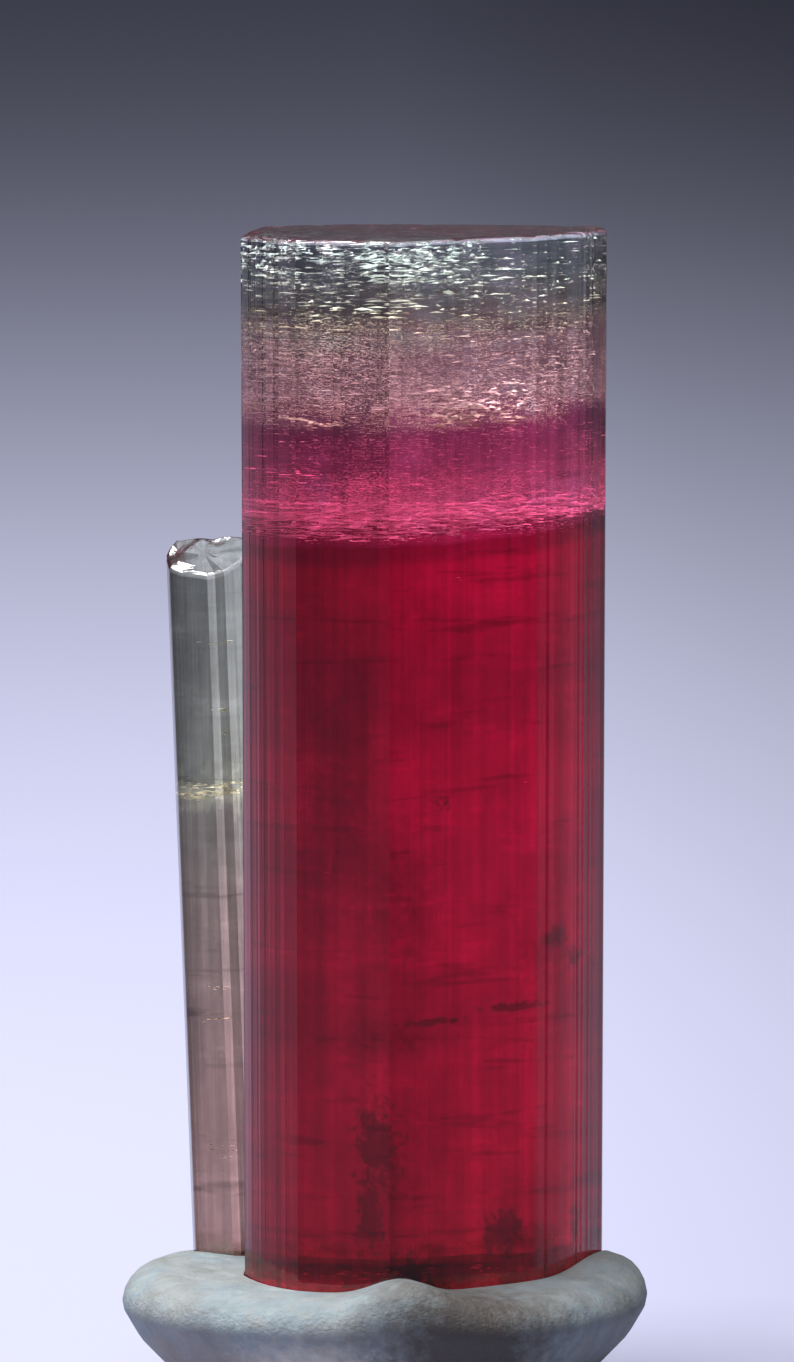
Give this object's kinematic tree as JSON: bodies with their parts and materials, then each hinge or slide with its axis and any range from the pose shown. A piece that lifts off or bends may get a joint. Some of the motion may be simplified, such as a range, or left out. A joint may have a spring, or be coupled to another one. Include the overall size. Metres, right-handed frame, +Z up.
{
  "type": "watermelon tourmaline crystal",
  "caption": "Upright striated tourmaline prism, crimson under a grey-green flat cap, with a slim pale crystal grown along its side, stood in a lump of grey display putty.",
  "frame": {"origin": "middle of the whole object's footprint, on the surface that the putty stands on", "axes": "+Z up along the main crystal's length, +X to the right of the side that is looked at, -Y towards the viewer"},
  "size_m": [0.02, 0.017, 0.0446],
  "materials": {
    "tourmaline": "clear natural crystal with striated prism faces, crimson with a pink band and a grey-green cap, and a pale grey-green side crystal",
    "putty": "matt pale blue-grey display putty, kneaded by hand"
  },
  "bodies": {
    "root": {"tourmaline_crystals": "tourmaline", "putty_base": "putty"}
  },
  "joints": []
}
